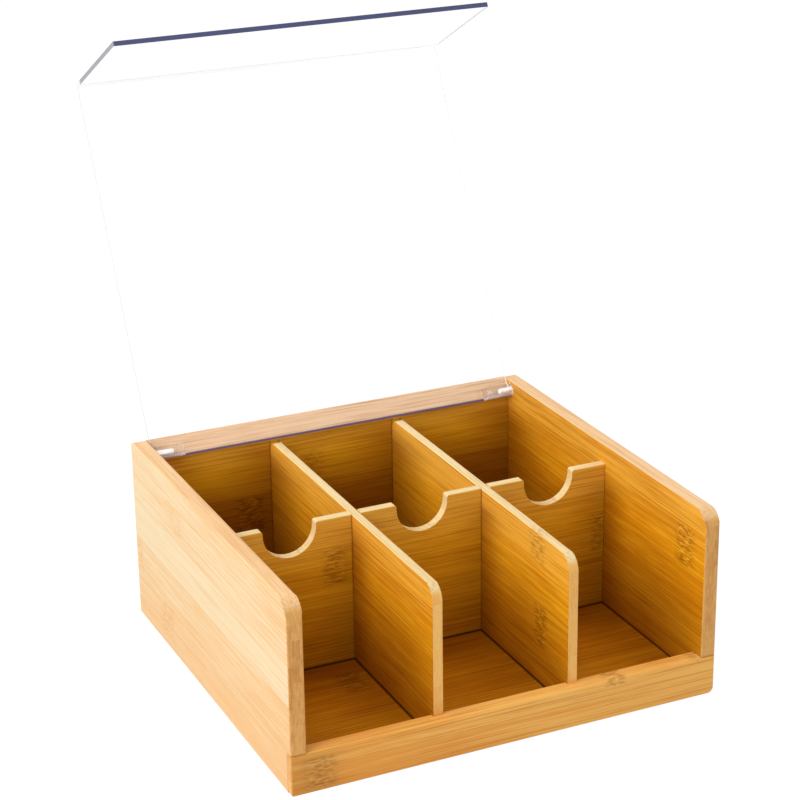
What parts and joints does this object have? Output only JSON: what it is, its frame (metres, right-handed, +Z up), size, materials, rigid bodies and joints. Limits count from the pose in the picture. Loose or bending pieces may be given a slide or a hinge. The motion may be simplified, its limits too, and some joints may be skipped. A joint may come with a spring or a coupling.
{
  "type": "tea bag organizer box",
  "caption": "Open-fronted bamboo box for tea bags, with egg-crate dividers, finger notches and a bent clear acrylic lid that swings on pins in clear hinge blocks.",
  "frame": {"origin": "centre of the underside of the base, on the plane the box stands on", "axes": "+X to the right seen from the front, +Y to the rear where the lid is hinged, +Z up"},
  "size_m": [0.255, 0.3351, 0.3443],
  "materials": {
    "bamboo_case": "satin clear-coated carbonised bamboo",
    "bamboo_divider": "satin clear-coated bamboo sheet",
    "bamboo_plug": "satin, sanded flush with the side",
    "clear_acrylic": "polished clear sheet, flame-polished edges",
    "pin_steel": "turned, bright"
  },
  "bodies": {
    "box": {"side_left": "bamboo_case", "side_right": "bamboo_case", "back_panel": "bamboo_case", "front_rail": "bamboo_case", "bottom_panel": "bamboo_case", "divider_left": "bamboo_divider", "divider_right": "bamboo_divider", "cross_divider": "bamboo_divider", "hinge_pin_left": "pin_steel", "hinge_pin_right": "pin_steel", "pin_plug_left": "bamboo_plug", "pin_plug_right": "bamboo_plug"},
    "lid": {"lid": "clear_acrylic", "hinge_block_left": "clear_acrylic", "hinge_block_right": "clear_acrylic"}
  },
  "joints": [
    {"name": "lid_hinge", "type": "hinge", "parent": "box", "child": "lid", "pos_m": [0, 0.1069, 0.1056], "axis": [1, 0, 0], "range_deg": [0, 117.4]}
  ]
}
